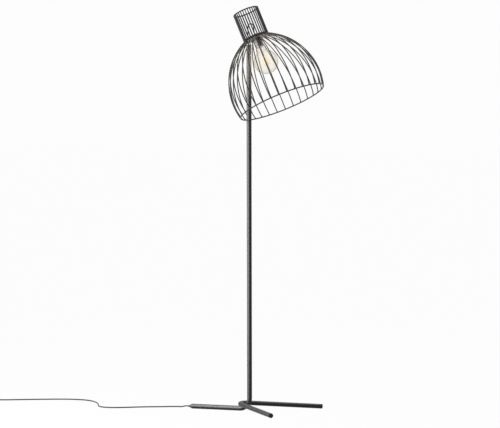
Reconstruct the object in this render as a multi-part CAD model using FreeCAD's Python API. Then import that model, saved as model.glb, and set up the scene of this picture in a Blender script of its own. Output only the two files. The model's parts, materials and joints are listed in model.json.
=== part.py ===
"""Floor lamp with a tilting wire cage shade on a bent tube stand.

Millimetres, +Z up.  The lamp is symmetric about the plane Y = 0 and leans towards +X.  It is drawn
with the pole's axis on the Z axis and is moved along X at the end, so that the origin lies under
the middle of the lamp on the floor.
"""
import FreeCAD, Part
import math
import os

# ---------------------------------------------------------------- driving dimensions
# Tube stand
pole_radius = 9.5
pole_wall = 1.5
pole_height = 1414.0          # top end of the pole above the floor
pole_joint_height = 720.0     # where the two pole tubes meet
bend_radius = 42.0            # pole to leg, on the tube's centre line
leg_reach = 246.5             # pole axis to the end of the leg tube
floor_gap = 0.8               # the end caps keep the tubes this far off the floor
vee_radius = 9.0
vee_wall = 1.5
vee_bend_radius = 48.0
vee_half_angle = 39.5         # degrees, each arm from the plane of symmetry
vee_arm = 284.0               # straight length of one arm
vee_apex_setback = 34.0       # pole axis back to the middle of the hairpin bend
weld_gap = 0.4
weld_throat = 7.5             # radius of the weld bead around the contact

# Plastic ends
cap_spigot = 15.0
cap_overhang = 1.1            # cap radius beyond the tube's
cap_length = 6.0
gland_overhang = 1.2
gland_cone_length = 15.0
gland_nose_length = 7.0
gland_nose_radius = 3.6
fit_gap = 0.08                # radial play of a plug in its tube

# Pole coupling
coupling_bore = 5.0
coupling_length = 80.0
set_screw_radius = 2.0
set_screw_length = 4.4

# Hinge
lean = 24.2                   # degrees, shade axis from upright
pivot_forward = 5.5           # pivot in front of the pole's axis
pivot_rise = 28.5             # pivot above the pole's end
pivot_off_axis = 23.0         # pivot behind the shade's axis
pivot_above_plate = 14.0
lug_thickness = 4.0
lug_eye_radius = 6.0
lug_plug_length = 22.0
lug_collar = 2.0
lug_neck_front = 7.2
lead_channel_width = 6.6
lead_channel_front = -1.2
washer_thickness = 0.6
washer_radius = 5.5
hinge_play = 0.08             # each side of the lug and of each washer
bolt_radius = 2.5
bolt_play = 0.05
bolt_head_radius = 4.5
bolt_head_height = 2.8
bolt_nut_flats = 8.0
bolt_nut_height = 4.5
bracket_sheet = 2.0
bracket_foot = 13.0           # foot length along the hinge
rivet_radius = 1.6
rivet_head_radius = 2.8
rivet_head_height = 1.4
rivet_spacing = 6.4

# Wire cage
wire_count = 32
wire_phase = 0.14             # share of a step from the back of the shade to the first wire
wire_radius = 2.1
ring_wire_radius = 2.4
collar_radius = 49.1          # wire centre line
collar_length = 111.5         # plate to the centre of the top ring
dome_length = 269.2           # plate to the centre of the rim ring
rim_radius = 170.7
dome_curve_radius = 232.0
shoulder_radius = 8.0         # bend from the collar into the dome

# Collar plate
plate_thickness = 2.0
plate_lip_height = 7.0
plate_lip_wall = 1.5
plate_fit = 0.03
slot_back = 43.5              # behind the shade's axis
slot_front = 19.0
lead_slot_width = 6.8
lug_slot_width = 5.2
lead_slot_length = 14.5

# Lampholder
nipple_radius = 5.0
nipple_bore = 3.0
nipple_top = 12.0
nipple_bottom = 7.5
nipple_nut_flats = 14.0
nipple_nut_height = 4.0
nipple_washer_radius = 9.0
nipple_washer_thickness = 0.8
holder_radius = 17.0
holder_wall = 1.0
holder_depth = 35.0
core_radius = 15.9
core_top = 8.5
core_floor = 4.5
socket_radius = 13.95
shell_wall = 0.4
terminal_radius = 2.4
terminal_height = 2.5
terminal_offset = 9.0

# Bulb with a 95 mm globe and a 27 mm screw cap
globe_radius = 47.5
globe_drop = 100.6            # plate to the globe's centre
glass_wall = 0.9
stem_length = 30.0
neck_radius = 12.5
neck_curve_radius = 28.0
cap_thread_radius = 13.1
cap_thread_depth = 0.7
cap_thread_pitch = 3.63
cap_thread_turns = 4
contact_drop = 13.9           # plate to the bulb's end contact
filament_count = 6
filament_radius = 1.1
filament_top_circle = 6.0
filament_bottom_circle = 13.0
filament_top_drop = 76.0
filament_bottom_drop = 112.0

# Leads and mains cord
lead_radius = 2.0
lead_offset = 4.2             # lead behind the pole's axis where it leaves the pole
cord_radius = 2.5
coil_radius = 28.0            # to the middle of the turns
coil_width = 15.6             # three turns side by side
coil_height = 5.2
tie_wall = 0.6
tie_width = 7.0
tie_gap = 0.15                # under and over the coil
tie_side_gap = 0.4

# Foot switch
switch_length = 84.0
switch_width = 44.0
switch_base_height = 8.0
switch_height = 20.0
switch_wall = 2.0
switch_seam = 0.1
switch_top_round = 4.0
button_radius = 12.5
button_gap = 0.35
button_flange = 2.0           # wider than the hole by this much
button_flange_thickness = 2.0
button_stand = 5.0
button_travel = 3.0
switch_screw_radius = 1.5
switch_screw_offset = 33.0
switch_boss_radius = 4.0
switch_block_length = 40.0
switch_block_width = 20.0
switch_block_height = 5.0
spring_wire = 0.6
spring_radius = 7.0
spring_turns = 3.5
spring_sides = 8
relief_length = 20.0
relief_spigot = 4.0
switch_entry_height = 6.5

# Plug, flat two-pin
plug_length = 36.0
plug_width = 35.0
plug_thickness = 13.7
plug_nose_width = 26.0
pin_radius = 2.0
pin_spacing = 19.0
pin_length = 19.0
pin_root = 6.0
plug_relief_length = 16.0

# ---------------------------------------------------------------- places worked out from them
leg_height = pole_radius + floor_gap
bend_centre_height = leg_height + bend_radius
exit_x = -(leg_reach + gland_cone_length + gland_nose_length)
pivot_height = pole_height + pivot_rise
lean_sine = math.sin(math.radians(lean))
lean_cosine = math.cos(math.radians(lean))
shade_x = pivot_forward + pivot_off_axis * lean_cosine + pivot_above_plate * lean_sine
shade_height = pivot_height + pivot_off_axis * lean_sine - pivot_above_plate * lean_cosine
rim_front_x = shade_x + rim_radius * lean_cosine + dome_length * lean_sine + ring_wire_radius
origin_x = (rim_front_x + exit_x) / 2

# The mains cord lies on the floor.  Its route starts at the gland's tip, and each point is given
# from there; heights are from the floor.
cord_route = [
    (0.0, 0.0, 10.3), (-21.5, 0.0, 10.3), (-48.5, -2.8, 9.7), (-80.5, -7.2, 7.4), (-116.0, -9.4, 4.2),
    (-154.0, -21.0, 2.6), (-195.0, -52.0, 2.6), (-232.0, -91.0, 2.6), (-272.0, -119.0, 2.6),
    (-322.0, -118.0, 2.6), (-360.0, -77.0, 2.6), (-394.0, -15.0, 2.6), (-433.0, 41.0, 2.6),
    (-478.0, 92.0, 2.6), (-532.0, 127.0, 2.6), (-590.0, 134.0, 2.6), (-643.0, 117.0, 2.6),
    (-691.0, 88.0, 2.6), (-742.0, 54.0, 2.6), (-793.0, 15.0, 2.6), (-838.0, -20.0, 2.6),
    (-867.0, -42.3, 5.9), (-892.0, -61.0, 6.5)]
switch_direction = (-0.80, -0.60)
tail_route = [
    (0.0, 0.0, 6.5), (-13.7, -10.3, 6.3), (-20.5, -28.5, 4.2), (-15.5, -48.8, 2.6),
    (-1.5, -65.6, 2.6), (17.8, -77.3, 2.6), (38.9, -83.6, 2.7), (59.0, -82.6, 3.1),
    (74.6, -76.2, 3.35)]
coil_from_switch = (59.9, -44.5)
plug_route = [
    (-8.0, -19.4, 4.6), (10.5, -23.2, 8.7), (34.6, -21.3, 8.7), (57.0, -16.8, 6.0), (77.6, -21.9, 6.7),
    (95.1, -32.0, 6.85)]


def point(x, y, z):
    return FreeCAD.Vector(x, y, z)


def unit(vector):
    return FreeCAD.Vector(vector).normalize()


def outline(start, *steps):
    """Closed face in the XZ plane.  A step is a corner (x, z), or an arc (middle, end)."""
    first = point(start[0], 0, start[1])
    here = first
    edges = []
    for step in steps:
        if isinstance(step[0], tuple):
            middle, end = step
            there = point(end[0], 0, end[1])
            edges.append(Part.Arc(here, point(middle[0], 0, middle[1]), there).toShape())
        else:
            there = point(step[0], 0, step[1])
            edges.append(Part.LineSegment(here, there).toShape())
        here = there
    if here.distanceToPoint(first) > 1e-6:
        edges.append(Part.LineSegment(here, first).toShape())
    return Part.Face(Part.Wire(edges))


def lathe(start, *steps):
    return outline(start, *steps).revolve(point(0, 0, 0), point(0, 0, 1), 360)


def disc(radius, low, high, x=0.0, y=0.0):
    return Part.makeCylinder(radius, high - low, point(x, y, low))


def ring(outer, inner, low, high, x=0.0, y=0.0):
    return disc(outer, low, high, x, y).cut(disc(inner, low - 1, high + 1, x, y))


def block(x, y, z):
    """Box from three (low, high) pairs."""
    return Part.makeBox(x[1] - x[0], y[1] - y[0], z[1] - z[0], point(x[0], y[0], z[0]))


def cross_pin(radius, low, high, x, z):
    """Cylinder along Y."""
    return Part.makeCylinder(radius, high - low, point(x, low, z), point(0, 1, 0))


def hexagon(flats, low, high):
    """Six-sided prism on the Z axis."""
    corner = flats / 2 / math.cos(math.radians(30))
    corners = [point(corner * math.cos(math.radians(60 * i)), corner * math.sin(math.radians(60 * i)), low)
               for i in range(7)]
    return Part.Face(Part.makePolygon(corners)).extrude(point(0, 0, high - low))


def placed(shape, where, turn):
    """The shape turned about the origin and then moved."""
    shape = shape.copy()
    shape.Placement = FreeCAD.Placement(where, turn).multiply(shape.Placement)
    return shape


def turned_to(direction):
    return FreeCAD.Rotation(point(0, 0, 1), direction)


def mirrored(shape):
    return shape.mirror(point(0, 0, 0), point(0, 1, 0))


def rounded_path(points, radii):
    """Straight runs joined by tangent arcs."""
    edges = []
    here = points[0]
    for before, corner, after, radius in zip(points, points[1:], points[2:], radii):
        back = unit(before.sub(corner))
        onward = unit(after.sub(corner))
        half_turn = (math.pi - back.getAngle(onward)) / 2
        reach = radius * math.tan(half_turn)
        arc_start = corner.add(back * reach)
        arc_end = corner.add(onward * reach)
        inward = unit(back.add(onward))
        middle = corner.add(inward * (radius / math.cos(half_turn) - radius))
        edges.append(Part.LineSegment(here, arc_start).toShape())
        edges.append(Part.Arc(arc_start, middle, arc_end).toShape())
        here = arc_end
    edges.append(Part.LineSegment(here, points[-1]).toShape())
    return Part.Wire(edges)


def bar(path, radius, start, direction):
    """Round bar along a path."""
    section = Part.Wire(Part.makeCircle(radius, start, direction))
    return path.makePipeShell([section], True, False)


def cord_tube(name, points):
    """Free cord: each arc is as large as its two runs allow."""
    radii = []
    for before, corner, after in zip(points, points[1:], points[2:]):
        back = before.sub(corner)
        onward = after.sub(corner)
        half_turn = (math.pi - back.getAngle(onward)) / 2
        radii.append(0.45 * min(back.Length, onward.Length) / math.tan(half_turn))
    path = rounded_path(points, radii)
    tube = bar(path, cord_radius, points[0], points[1].sub(points[0]))
    section = math.pi * cord_radius ** 2
    print(name, "length %.1f" % path.Length, "volume / (section x length) %.5f"
          % (tube.Volume / (section * path.Length)), "radii", [round(r) for r in radii])
    return tube


# ---------------------------------------------------------------- stand
pole_bore = pole_radius - pole_wall
leg_end = point(-leg_reach, 0, leg_height)


def leg_and_pole_bar(radius, top):
    corner = point(0, 0, leg_height)
    path = rounded_path([leg_end, corner, point(0, 0, top)], [bend_radius])
    return bar(path, radius, leg_end, point(1, 0, 0))


def lug_screw_hole():
    height = pole_height - lug_plug_length / 2
    return cross_pin(set_screw_radius + 0.02, 0, pole_radius + 1, 0, height)


def pole_lower():
    return leg_and_pole_bar(pole_radius, pole_joint_height).cut(
        leg_and_pole_bar(pole_bore, pole_joint_height))


def pole_upper():
    return ring(pole_radius, pole_bore, pole_joint_height, pole_height).cut(lug_screw_hole())


def pole_coupling():
    half = coupling_length / 2
    return ring(pole_bore - fit_gap, coupling_bore, pole_joint_height - half, pole_joint_height + half)


# The hairpin lies in one plane that slopes from the top of the leg down to the floor.
nest = bend_radius - pole_radius - vee_radius - weld_gap
apex_forward = bend_radius - vee_apex_setback
vee_apex_height = bend_centre_height - math.sqrt(nest ** 2 - apex_forward ** 2)
vee_end_height = vee_radius + floor_gap
arm_sine = math.sin(math.radians(vee_half_angle))
arm_cosine = math.cos(math.radians(vee_half_angle))
arm_start = (vee_bend_radius * (1 - arm_sine), vee_bend_radius * arm_cosine)
arm_end = (arm_start[0] + vee_arm * arm_cosine, arm_start[1] + vee_arm * arm_sine)
vee_slope = math.degrees(math.asin((vee_apex_height - vee_end_height) / arm_end[0]))
vee_turn = FreeCAD.Rotation(point(0, 1, 0), vee_slope)
vee_apex = point(-vee_apex_setback, 0, vee_apex_height)


def vee_bar(radius):
    straight_in = Part.LineSegment(point(*arm_end, 0), point(*arm_start, 0)).toShape()
    bend = Part.Arc(point(*arm_start, 0), point(0, 0, 0), point(arm_start[0], -arm_start[1], 0)).toShape()
    straight_out = Part.LineSegment(point(arm_start[0], -arm_start[1], 0),
                                    point(arm_end[0], -arm_end[1], 0)).toShape()
    path = Part.Wire([straight_in, bend, straight_out])
    flat = bar(path, radius, point(*arm_end, 0), point(-arm_cosine, -arm_sine, 0))
    return placed(flat, vee_apex, vee_turn)


def leg_vee():
    return vee_bar(vee_radius).cut(vee_bar(vee_radius - vee_wall))


def vee_leg_weld():
    """Weld bead where the hairpin nests in the bend of the pole."""
    bend_centre = point(-bend_radius, 0, bend_centre_height)
    towards_vee = unit(vee_apex.sub(bend_centre))
    contact = bend_centre.add(towards_vee * (bend_radius - pole_radius - weld_gap / 2))
    bead = Part.makeSphere(weld_throat, contact)
    return bead.cut(vee_bar(vee_radius)).cut(leg_and_pole_bar(pole_radius, 2 * bend_radius))


def above_floor(shape):
    """Flattened where it stands on the floor."""
    span = 2 * (leg_reach + vee_arm)
    return shape.cut(block((-span, span), (-span, span), (-50, 0)))


def vee_end_cap(side):
    spigot = vee_radius - vee_wall - fit_gap
    outer = vee_radius + cap_overhang
    cap = lathe((0, -cap_spigot), (spigot, -cap_spigot), (spigot, 0), (outer, 0),
                (outer, cap_length * 0.55),
                ((outer * 0.92, cap_length * 0.9), (outer * 0.72, cap_length)), (0, cap_length))
    end = vee_turn.multVec(point(arm_end[0], side * arm_end[1], 0)).add(vee_apex)
    direction = vee_turn.multVec(point(arm_cosine, side * arm_sine, 0))
    return above_floor(placed(cap, end, turned_to(direction)))


def leg_gland():
    """Bullet-shaped end of the leg that the mains cord leaves through."""
    spigot = pole_bore - fit_gap
    outer = pole_radius + gland_overhang
    bore = lead_radius + fit_gap
    shoulder = gland_cone_length * 0.25
    tip = gland_cone_length + gland_nose_length
    gland = lathe((bore, -cap_spigot), (spigot, -cap_spigot), (spigot, 0), (outer, 0), (outer, shoulder),
                  (((outer + gland_nose_radius) / 2 + 1.0, gland_cone_length * 0.7),
                   (gland_nose_radius + 0.6, gland_cone_length)),
                  (gland_nose_radius, gland_cone_length + 1), (gland_nose_radius * 0.9, tip), (bore, tip))
    return above_floor(placed(gland, leg_end, turned_to(point(-1, 0, 0))))


def pole_lug():
    """Plug in the pole's end with the single ear of the hinge; the lead passes behind the ear."""
    plug = disc(pole_bore - fit_gap, pole_height - lug_plug_length, pole_height)
    collar = disc(pole_radius, pole_height, pole_height + lug_collar)
    half = lug_thickness / 2
    neck = block((pivot_forward - lug_eye_radius, lug_neck_front), (-half, half), (pole_height, pivot_height))
    eye = cross_pin(lug_eye_radius, -half, half, pivot_forward, pivot_height)
    lug = plug.fuse(collar).fuse(neck).fuse(eye)
    channel = block((-pole_radius - 1, lead_channel_front), (-lead_channel_width / 2, lead_channel_width / 2),
                    (pole_height - lug_plug_length - 1, pole_height + lug_collar + 1))
    bore = cross_pin(bolt_radius + bolt_play, -half - 1, half + 1, pivot_forward, pivot_height)
    return lug.cut(channel).cut(bore).cut(lug_screw_hole()).removeSplitter()


def lug_set_screw():
    height = pole_height - lug_plug_length / 2
    outer_end = pole_radius - 0.2
    inner_end = outer_end - set_screw_length
    screw = Part.makeCylinder(set_screw_radius, set_screw_length, point(0, 0, 0))
    socket = hexagon(set_screw_radius, set_screw_length / 2, set_screw_length + 1)
    return placed(screw.cut(socket), point(0, inner_end, height), turned_to(point(0, 1, 0)))


lead_split_height = pole_height + 6.0


def pole_lead():
    ease = 70.0
    start = point(exit_x, 0, leg_height)
    path = rounded_path(
        [start, point(0, 0, leg_height), point(0, 0, pole_height - 2 * ease),
         point(-lead_offset, 0, pole_height - ease), point(-lead_offset, 0, lead_split_height)],
        [bend_radius, 4 * ease, 4 * ease])
    return bar(path, lead_radius, start, point(1, 0, 0))


# ---------------------------------------------------------------- shade, drawn upright about its own axis
shade_place = FreeCAD.Placement(point(shade_x, 0, shade_height), FreeCAD.Rotation(point(0, 1, 0), -lean))
ear_inner_face = lug_thickness / 2 + 2 * hinge_play + washer_thickness
foot_middle = ear_inner_face + bracket_sheet + (bracket_foot - bracket_sheet) / 2


def leaned(shape):
    """From the shade's own upright frame to its place on the pole."""
    return placed(shape, shade_place.Base, shade_place.Rotation)


def shade_wire():
    """One wire: straight in the collar, bent at the shoulder, then one arc to the rim."""
    top = point(collar_radius, 0, 0)
    rim = point(rim_radius, 0, -dome_length)
    chord = rim.sub(top)
    inward = unit(point(chord.z, 0, -chord.x))
    depth = math.sqrt(dome_curve_radius ** 2 - (chord.Length / 2) ** 2)
    dome_centre = top.add(chord * 0.5).add(inward * depth)
    shoulder_x = collar_radius + shoulder_radius
    rise = math.sqrt((dome_curve_radius + shoulder_radius) ** 2 - (shoulder_x - dome_centre.x) ** 2)
    shoulder_centre = point(shoulder_x, 0, dome_centre.z + rise)
    bend_start = point(collar_radius, 0, shoulder_centre.z)
    to_dome = unit(dome_centre.sub(shoulder_centre))
    bend_end = shoulder_centre.add(to_dome * shoulder_radius)
    bend_middle = shoulder_centre.add(unit(to_dome.add(point(-1, 0, 0))) * shoulder_radius)
    start_angle = math.atan2(bend_end.z - dome_centre.z, bend_end.x - dome_centre.x)
    end_angle = math.atan2(rim.z - dome_centre.z, rim.x - dome_centre.x) + ring_wire_radius / dome_curve_radius

    def on_dome(angle):
        return dome_centre.add(point(math.cos(angle), 0, math.sin(angle)) * dome_curve_radius)

    first = point(collar_radius, 0, collar_length - ring_wire_radius)
    path = Part.Wire([
        Part.LineSegment(first, bend_start).toShape(),
        Part.Arc(bend_start, bend_middle, bend_end).toShape(),
        Part.Arc(bend_end, on_dome((start_angle + end_angle) / 2), on_dome(end_angle)).toShape()])
    return bar(path, wire_radius, first, point(0, 0, -1))


def shade_wires(first, last):
    """The wires numbered first to last - 1, counted round from the back of the shade."""
    wire = shade_wire()
    wires = []
    for number in range(first, last):
        copy = wire.copy()
        copy.rotate(point(0, 0, 0), point(0, 0, 1), 180 + 360 * (number + wire_phase) / wire_count)
        wires.append(leaned(copy))
    return Part.makeCompound(wires)


def hoop(radius, height):
    return leaned(Part.makeTorus(radius, ring_wire_radius, point(0, 0, height)))


plate_radius = collar_radius - wire_radius - plate_fit
plate_under = -plate_thickness


def rivet_places():
    for side in (-1, 1):
        for step in (-0.5, 0.5):
            yield -pivot_off_axis + step * rivet_spacing, side * foot_middle


def collar_plate():
    """Dished plate in the foot of the collar, slotted for the lug and the lead."""
    lip_inner = plate_radius - plate_lip_wall
    plate = lathe((nipple_radius + 0.05, plate_under), (plate_radius, plate_under),
                  (plate_radius, plate_lip_height), (lip_inner, plate_lip_height), (lip_inner, 0),
                  (nipple_radius + 0.05, 0))
    deep = (plate_under - 1, 1)
    half_lead = lead_slot_width / 2
    plate = plate.cut(block((-slot_back + half_lead, -slot_back + lead_slot_length),
                            (-half_lead, half_lead), deep))
    plate = plate.cut(disc(half_lead, deep[0], deep[1], -slot_back + half_lead))
    plate = plate.cut(block((-slot_back + half_lead, -slot_front), (-lug_slot_width / 2, lug_slot_width / 2), deep))
    for x, y in rivet_places():
        plate = plate.cut(disc(rivet_radius + 0.02, deep[0], deep[1], x, y))
    return leaned(plate)


def hinge_bracket(side):
    """Bent sheet ear on the plate; the lug swings between the two of them."""
    half = lug_eye_radius
    cheek_y = (ear_inner_face, ear_inner_face + bracket_sheet)
    span = (-pivot_off_axis - half, -pivot_off_axis + half)
    cheek = block(span, cheek_y, (0, pivot_above_plate))
    eye = cross_pin(half, cheek_y[0], cheek_y[1], -pivot_off_axis, pivot_above_plate)
    foot = block(span, (cheek_y[0], cheek_y[0] + bracket_foot), (0, bracket_sheet))
    bracket = cheek.fuse(eye).fuse(foot)
    bracket = bracket.cut(cross_pin(bolt_radius + 0.02, cheek_y[0] - 1, cheek_y[1] + 1,
                                    -pivot_off_axis, pivot_above_plate))
    for x, y in rivet_places():
        bracket = bracket.cut(disc(rivet_radius + 0.02, -1, bracket_sheet + 1, x, abs(y)))
    bracket = bracket.removeSplitter()
    return leaned(bracket if side > 0 else mirrored(bracket))


def bracket_rivets():
    low = plate_under - rivet_head_height
    high = bracket_sheet + rivet_head_height
    crown = rivet_head_radius * 0.75
    rivet = lathe((0, low), (crown, low), (rivet_head_radius, plate_under), (rivet_radius, plate_under),
                  (rivet_radius, bracket_sheet), (rivet_head_radius, bracket_sheet), (crown, high), (0, high))
    rivets = []
    for x, y in rivet_places():
        copy = rivet.copy()
        copy.translate(point(x, y, 0))
        rivets.append(leaned(copy))
    return Part.makeCompound(rivets)


def on_hinge_axis(shape):
    """From a part drawn up the Z axis to one along the hinge, starting at the plane of symmetry."""
    along_y = placed(shape, point(-pivot_off_axis, 0, pivot_above_plate), turned_to(point(0, 1, 0)))
    return leaned(along_y)


def hinge_washers():
    low = lug_thickness / 2 + hinge_play
    washers = []
    for start in (low, -low - washer_thickness):
        washers.append(on_hinge_axis(ring(washer_radius, bolt_radius + 0.05, start, start + washer_thickness)))
    return Part.makeCompound(washers)


def hinge_bolt():
    outer_face = ear_inner_face + bracket_sheet
    head_top = -outer_face - bolt_head_height
    shank_end = outer_face + bolt_nut_height + 1.5
    bolt = lathe((0, head_top), (bolt_head_radius * 0.65, head_top),
                 ((bolt_head_radius * 0.92, head_top + bolt_head_height * 0.35), (bolt_head_radius, -outer_face)),
                 (bolt_radius, -outer_face), (bolt_radius, shank_end - 0.6), (bolt_radius - 0.6, shank_end),
                 (0, shank_end))
    socket = hexagon(3.0, head_top - 1, head_top + bolt_head_height * 0.6)
    return on_hinge_axis(bolt.cut(socket))


def hinge_lock_nut():
    face = ear_inner_face + bracket_sheet
    nut = hexagon(bolt_nut_flats, face, face + bolt_nut_height * 0.75)
    crown = ring(bolt_nut_flats / 2 - 0.3, bolt_radius, face + bolt_nut_height * 0.75, face + bolt_nut_height)
    return on_hinge_axis(nut.cut(disc(bolt_radius + 0.02, face - 1, face + bolt_nut_height)).fuse(
        crown.cut(disc(bolt_radius + 0.02, face, face + bolt_nut_height + 1))).removeSplitter())


# ---------------------------------------------------------------- lampholder
holder_bottom = plate_under - holder_depth
core_floor_height = -core_top - core_floor


def holder_nipple():
    return leaned(ring(nipple_radius, nipple_bore, -nipple_bottom, nipple_top))


def nipple_washer():
    return leaned(ring(nipple_washer_radius, nipple_radius + 0.05, 0, nipple_washer_thickness))


def nipple_nut():
    low = nipple_washer_thickness
    nut = hexagon(nipple_nut_flats, low, low + nipple_nut_height)
    return leaned(nut.cut(disc(nipple_radius + 0.02, low - 1, low + nipple_nut_height + 1)))


def lead_bush():
    """Plastic bush on the nipple that keeps its edge off the lead."""
    bore = lead_radius + fit_gap
    spigot = nipple_bore - fit_gap
    bush = lathe((bore, nipple_top - 5), (spigot, nipple_top - 5), (spigot, nipple_top),
                 (nipple_radius + 0.6, nipple_top), (nipple_radius + 0.6, nipple_top + 1.5),
                 (nipple_radius - 1.4, nipple_top + 6), (bore, nipple_top + 6))
    return leaned(bush)


def holder_cup():
    inner = holder_radius - holder_wall
    hole = nipple_radius + 0.02
    edge = 1.2
    cup = lathe((hole, plate_under), (holder_radius - edge, plate_under),
                ((holder_radius - edge * 0.3, plate_under - edge * 0.3), (holder_radius, plate_under - edge)),
                (holder_radius, holder_bottom), (inner, holder_bottom), (inner, plate_under - holder_wall),
                (hole, plate_under - holder_wall))
    return leaned(cup)


def holder_core():
    hole = 1.6
    mouth = holder_bottom + 0.6
    return leaned(lathe((hole, -core_top), (core_radius, -core_top), (core_radius, mouth), (socket_radius, mouth),
                        (socket_radius, core_floor_height), (hole, core_floor_height)))


def socket_shell():
    outer = socket_radius - 0.02
    return leaned(ring(outer, outer - shell_wall, holder_bottom + 2.5, core_floor_height - 0.2))


def socket_contact():
    rivet = 1.55
    return leaned(lathe((0, -core_top), (rivet, -core_top), (rivet, core_floor_height), (4.0, core_floor_height),
                        (4.0, core_floor_height - 0.5), (0, core_floor_height - 0.8)))


def holder_terminals():
    pair = []
    for side in (-1, 1):
        screw = disc(terminal_radius, -core_top, -core_top + terminal_height, 0, side * terminal_offset)
        slot = block((-0.4, 0.4), (side * terminal_offset - 3, side * terminal_offset + 3),
                     (-core_top + terminal_height - 0.8, -core_top + terminal_height + 1))
        pair.append(leaned(screw.cut(slot)))
    return Part.makeCompound(pair)


# ---------------------------------------------------------------- bulb
tip_height = -contact_drop
insulator_top = tip_height - 1.5
cap_top = insulator_top - 3.2
thread_top = cap_top - 1.0
thread_bottom = thread_top - cap_thread_turns * cap_thread_pitch
skirt_inner = neck_radius + 0.1
skirt_outer = skirt_inner + shell_wall
skirt_bottom = thread_bottom - 4.9
glass_top = thread_bottom - 1.2


def bulb_contact():
    return leaned(lathe((0, tip_height), ((3.0, tip_height - 0.4), (4.4, insulator_top)), (0, insulator_top)))


def bulb_insulator():
    return leaned(lathe((0, insulator_top), (4.4, insulator_top), (10.8, cap_top), (0, cap_top)))


def bulb_cap():
    valley = cap_thread_radius - cap_thread_depth
    inside = valley - shell_wall
    steps = [(11.0, cap_top), (valley, thread_top)]
    for turn in range(cap_thread_turns):
        high = thread_top - turn * cap_thread_pitch
        steps.append(((cap_thread_radius, high - cap_thread_pitch / 2), (valley, high - cap_thread_pitch)))
    steps += [(skirt_outer, thread_bottom - 0.9), (skirt_outer, skirt_bottom), (skirt_inner, skirt_bottom),
              (skirt_inner, thread_bottom - 1.0), (inside, thread_bottom - 0.2), (inside, thread_top - 0.3),
              (9.8, cap_top - 0.5)]
    return leaned(lathe((9.8, cap_top), *steps))


def globe_solid(inset):
    """The globe and its neck as one turned solid, everywhere this far inside the outer surface."""
    globe = globe_radius - inset
    curve = neck_curve_radius + inset
    neck = neck_radius - inset
    curve_x = neck_radius + neck_curve_radius
    span = globe_radius + neck_curve_radius
    curve_rise = math.sqrt(span ** 2 - curve_x ** 2)
    curve_z = -globe_drop + curve_rise
    join = (globe * curve_x / span, -globe_drop + globe * curve_rise / span)
    middle_angle = math.atan2(curve_rise, curve_x) / 2 + math.pi / 2
    bend_x = curve_x - curve * math.sin(middle_angle)
    bend_z = curve_z - curve * abs(math.cos(middle_angle))
    return lathe((0, -globe_drop - globe), ((globe * math.cos(-0.3), -globe_drop + globe * math.sin(-0.3)), join),
                 ((bend_x, bend_z), (neck, curve_z)), (neck, glass_top), (0, glass_top))


def bulb_glass():
    core = globe_solid(glass_wall).fuse(disc(neck_radius - glass_wall, glass_top - 1, glass_top + 1))
    return leaned(globe_solid(0).cut(core))


def bulb_stem():
    flare = neck_radius - glass_wall - 0.05
    top = glass_top - 1.0
    pinch = top - stem_length
    tube = 4.0
    slant = tube * math.sqrt(0.5)
    stem = lathe((0, top), (flare, top), (flare, top - 1), (tube, top - 11), (tube, pinch + tube),
                 ((slant, pinch + tube - slant), (0, pinch)))
    hollow = Part.makeCone(0.5, flare - 1, 14, point(0, 0, top - 14))
    return leaned(stem.cut(hollow))


def filament_ends():
    for number in range(filament_count):
        turn = math.radians(360 * (number + 0.5) / filament_count)
        yield (point(filament_top_circle * math.cos(turn), filament_top_circle * math.sin(turn),
                     -filament_top_drop),
               point(filament_bottom_circle * math.cos(turn), filament_bottom_circle * math.sin(turn),
                     -filament_bottom_drop))


def filament_sticks():
    for high, low in filament_ends():
        along = low.sub(high)
        yield Part.makeCylinder(filament_radius, along.Length, high, along)


def bulb_filaments():
    return Part.makeCompound([leaned(stick) for stick in filament_sticks()])


def bulb_support():
    """Centre post with an arm to each end of each filament."""
    wire = 0.5
    post_top = glass_top - 1.0 - stem_length
    support = disc(wire, -filament_bottom_drop - 2, post_top)
    for high, low in filament_ends():
        for end in (high, low):
            foot = point(0, 0, end.z)
            reach = end.sub(foot)
            support = support.fuse(Part.makeCylinder(wire * 0.8, reach.Length, foot, reach))
    for stick in filament_sticks():
        support = support.cut(stick)
    return leaned(support)


# ---------------------------------------------------------------- lead from the pole over to the lampholder
loop_height = 55.0            # top corner of the loop above the plate
loop_width = 23.8
loop_radius = 11.4


def head_lead():
    along = shade_place.Rotation.multVec(point(0, 0, 1))
    nipple_in = shade_place.Base.add(along * (nipple_top + 14))
    nipple_end = shade_place.Base.add(along * (1 - nipple_bottom))
    top = shade_height + loop_height
    start = point(-lead_offset, 0, lead_split_height)
    path = rounded_path([start, point(-lead_offset, 0, top), point(loop_width - lead_offset, 0, top),
                         nipple_in, nipple_end], [loop_radius, loop_radius, 3 * loop_radius])
    return bar(path, lead_radius, start, point(0, 0, 1))


# ---------------------------------------------------------------- mains cord, foot switch and plug
def route(points, x, y):
    return [point(x + px, y + py, pz) for px, py, pz in points]


cord_points = route(cord_route, exit_x, 0)
cord_points[0].z = leg_height
switch_entry = cord_points[-1]
switch_heading = point(switch_direction[0], switch_direction[1], 0)
switch_reach = switch_length / 2 + relief_length
switch_middle = switch_entry.add(switch_heading * switch_reach)
switch_turn = FreeCAD.Rotation(point(0, 0, 1), math.degrees(math.atan2(switch_heading.y, switch_heading.x)))
switch_exit = switch_middle.add(switch_heading * switch_reach)
tail_points = route(tail_route, switch_exit.x, switch_exit.y)
coil_middle = point(switch_exit.x + coil_from_switch[0], switch_exit.y + coil_from_switch[1], 0)
plug_points = route(plug_route, coil_middle.x, coil_middle.y)
coil_lift = tie_wall + tie_gap


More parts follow.
